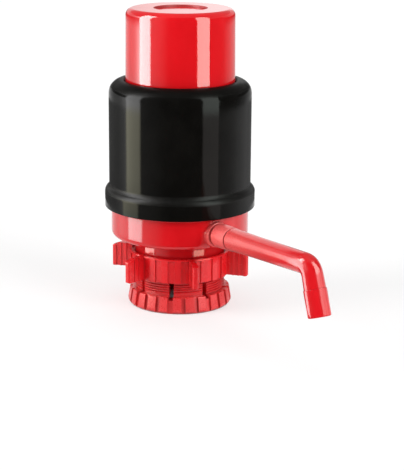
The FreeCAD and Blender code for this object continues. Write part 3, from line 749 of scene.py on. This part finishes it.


# the cap's recess wall gets a darker red: painted shade
red_gloss = red_moulding("red_gloss", (0.035, 0.075), 0.35 * MM, 0.05 * MM, CAP_SHADE,
                         patch=(recess_wall, RECESS_SHADE_RED, (0.42, 0.50)))
# the bowl's red is scaled to 0.86: painted shade, as the bowl lies under the sleeve's lip
red_bowl = red_moulding("red_bowl", (0.05, 0.09), 0.35 * MM, 0.05 * MM, BOWL_SHADE, 0.86,
                        patch=(boss_frost, FROST, (0.34, 0.44)))
red_collar = red_moulding("red_collar", (0.28, 0.36), 0.3 * MM, 0.02 * MM, FINE_SHADE, 0.88,
                          patch=(collar_frost, FROST, (0.34, 0.44)))
red_spout = red_moulding("red_spout", (0.12, 0.18), 0.3 * MM, 0.03 * MM, FINE_SHADE, 0.90,
                         patch=(arm_frost, FROST, (0.24, 0.32)))
red_tip = red_moulding("red_tip", (0.12, 0.18), 0.3 * MM, 0.03 * MM, FINE_SHADE, 0.90)
red_grip = red_moulding("red_grip", (0.22, 0.30), 0.25 * MM, 0.03 * MM, WIDE_SHADE)
red_band = red_moulding("red_band", (0.22, 0.30), 0.25 * MM, 0.03 * MM, WIDE_SHADE,
                        patch=(band_frost, FROST, (0.30, 0.40)))
red_thread = red_moulding("red_thread", (0.20, 0.28), 0.1 * MM, 0.01 * MM, THREAD_SHADE)
bellows_rubber = rubber("bellows_rubber", (0.024, 0.024, 0.025), (0.045, 0.044, 0.043), 0.52)
valve_rubber = rubber("valve_rubber", (0.20, 0.19, 0.17), (0.27, 0.255, 0.23), 0.45)
seal_rubber = rubber("seal_rubber", (0.016, 0.016, 0.017), (0.030, 0.030, 0.030), 0.40)
screw_steel = steel("screw_steel", (0.60, 0.58, 0.55), 0.24, (1, 1, 6))
spring_steel = steel("spring_steel", (0.52, 0.52, 0.53), 0.20, (1, 1, 8))

dress(red_gloss, "press_cap")
dress(red_bowl, "base_bowl")
dress(red_collar, "spout_socket")
dress(red_spout, "spout_tube")
dress(red_tip, "nozzle_tip")
dress(red_grip, "lock_ring")
dress(red_band, "collet")
dress(black_moulding(), "sleeve")
dress(white_moulding(), "deck_plate", "top_plate", "retaining_ring")
dress(bellows_rubber, "bellows")
dress(valve_rubber, "inlet_valve", "outlet_valve")
dress(seal_rubber, "deck_seal", "neck_gasket", "tube_seal", "spout_seals")
dress(screw_steel, "lower_screws", "upper_screws", "lower_clamp_ring", "upper_clamp_ring")
dress(spring_steel, "return_spring", "spout_clip")

thread = collet_thread()
thread.data.materials.append(red_thread)
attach(thread, "collet")

soft_parts = (
    (bellows_skin(), bellows_rubber, "bellows", "bellows_rubber"),
    (spring_coil(), spring_steel, "return_spring", "spring_steel"),
)
for piece, material, node, slot in soft_parts:
    piece.data.materials.append(material)
    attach(piece, "base")
    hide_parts(node)
    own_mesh(piece)

world(ambient=0.44)
floor(glow=0.62, dim=0.45, reach=80 * MM)
sun("left_lamp", 1.96, 35, -75, 25)
sun("right_lamp", 1.82, 35, 50, 25)
sun("top_lamp", 0.55, 40, 180, 75)

# softboxes, whose upright edges show in the pump's gloss
left_edges = [(-97, 0.5), (-94, 1), (-69, 1), (-66, 0.5)]
left_sleeve_zone = [(0.26, 0.02, 0.5), (0.27, 0.05, 0.85), (0.275, 0.11, 1)]
softbox("left_softbox_bowl", left_edges, BOWL_ZONE, 8.2, (0.7, 1.0, 1.0))
softbox("left_softbox_sleeve", left_edges, left_sleeve_zone, 14.5, OLIVE)
softbox("left_softbox_cap", left_edges, CAP_ZONE, 16.5, WHITE)
right_edges = [(36, 0.8), (38, 1), (64, 1), (66, 0.8)]
softbox("right_softbox_bowl", right_edges, BOWL_ZONE, 0.4, WARM)
softbox("right_softbox_sleeve", right_edges, SLEEVE_ZONE, 3.0, WARM)
softbox("right_softbox_cap", right_edges, CAP_ZONE, 8.5, (0.9, 1.0, 0.93))
neck_card("left_softbox_neck", -99, -69, 11, NECK_ZONE, (1.0, 0.68, 0.62))
neck_card("right_softbox_neck", 36, 65, 7, NECK_ZONE, (1.0, 0.70, 0.55))

# dim cards between and behind them, from the camera's side round to the back
front = [(-66, 1.0), (-52, 0.7), (-42, 0.5), (-25, 0.05), (-10, 0), (36, 0)]
studio_card("front_flag_low", front, LOW_ZONE)
studio_card("front_flag_high", front, CAP_ZONE)
studio_card("right_flag_low", [(66, 1.05), (85, 1.2), (105, 1.45)], LOW_ZONE)
studio_card("right_flag_high", [(66, 0.07), (95, 0.1), (105, 0.2)], CAP_LOW_ZONE)
studio_card("back_flag_right",
            [(105, 1.45), (120, 1.1), (131, 0.8), (144, 0.4), (168, 0.1)], SLEEVE_ZONE)
studio_card("back_flag_left",
            [(-177, 0.1), (-149, 0.2), (-139, 0.34), (-130, 0.48), (-123, 0.66),
             (-117, 0.85), (-110, 1.4), (-103, 2.2), (-97, 4.0)],
            [(0.26, 0.02, 0.75), (0.27, 0.05, 0.9), (0.275, 0.11, 1)])
studio_card("left_flag_bowl", [(-125, 1.2), (-115, 1.6), (-97, 1.7)], BOWL_ZONE)
studio_card("back_flag_high_right",
            [(105, 0.2), (115, 0.45), (133, 0.64), (168, 0.68)], CAP_BACK_ZONE)
studio_card("back_flag_high_left",
            [(-177, 0.9), (-132, 0.8), (-123, 1.1), (-114, 1.6), (-107, 2.8), (-100, 5.5),
             (-97, 7.0)], CAP_BACK_ZONE)
studio_card("floor_flag", [(95, 0.35), (178, 0.35)], FLOOR_ZONE)
neck_card("neck_flag_left", -177, -100, 0.1, NECK_WIDE_ZONE)
neck_card("neck_flag_right", 66, 168, 0.1, NECK_WIDE_ZONE)

# cards for the arm, the cap's top and the nozzle
arm_card("arm_flag", [(-100, 1), (30, 1), (30, 70), (-25, 50), (-57, 46), (-100, 41)], 0.15)
arm_card("arm_light", [(2, 72), (45, 72), (45, 135), (-24, 135), (-8, 100)], 1.2)
studio_card("cap_top_light", [(170, 1.45), (180, 1.4), (184, 1.25), (188, 1.0)], TOP_ZONE)
ceiling_flag(0.8, 0.5, 0.40)
nozzle_strip("nozzle_left_strip", -98, 34, 7.0)

camera()
bpy.context.scene.view_settings.view_transform = "Standard"
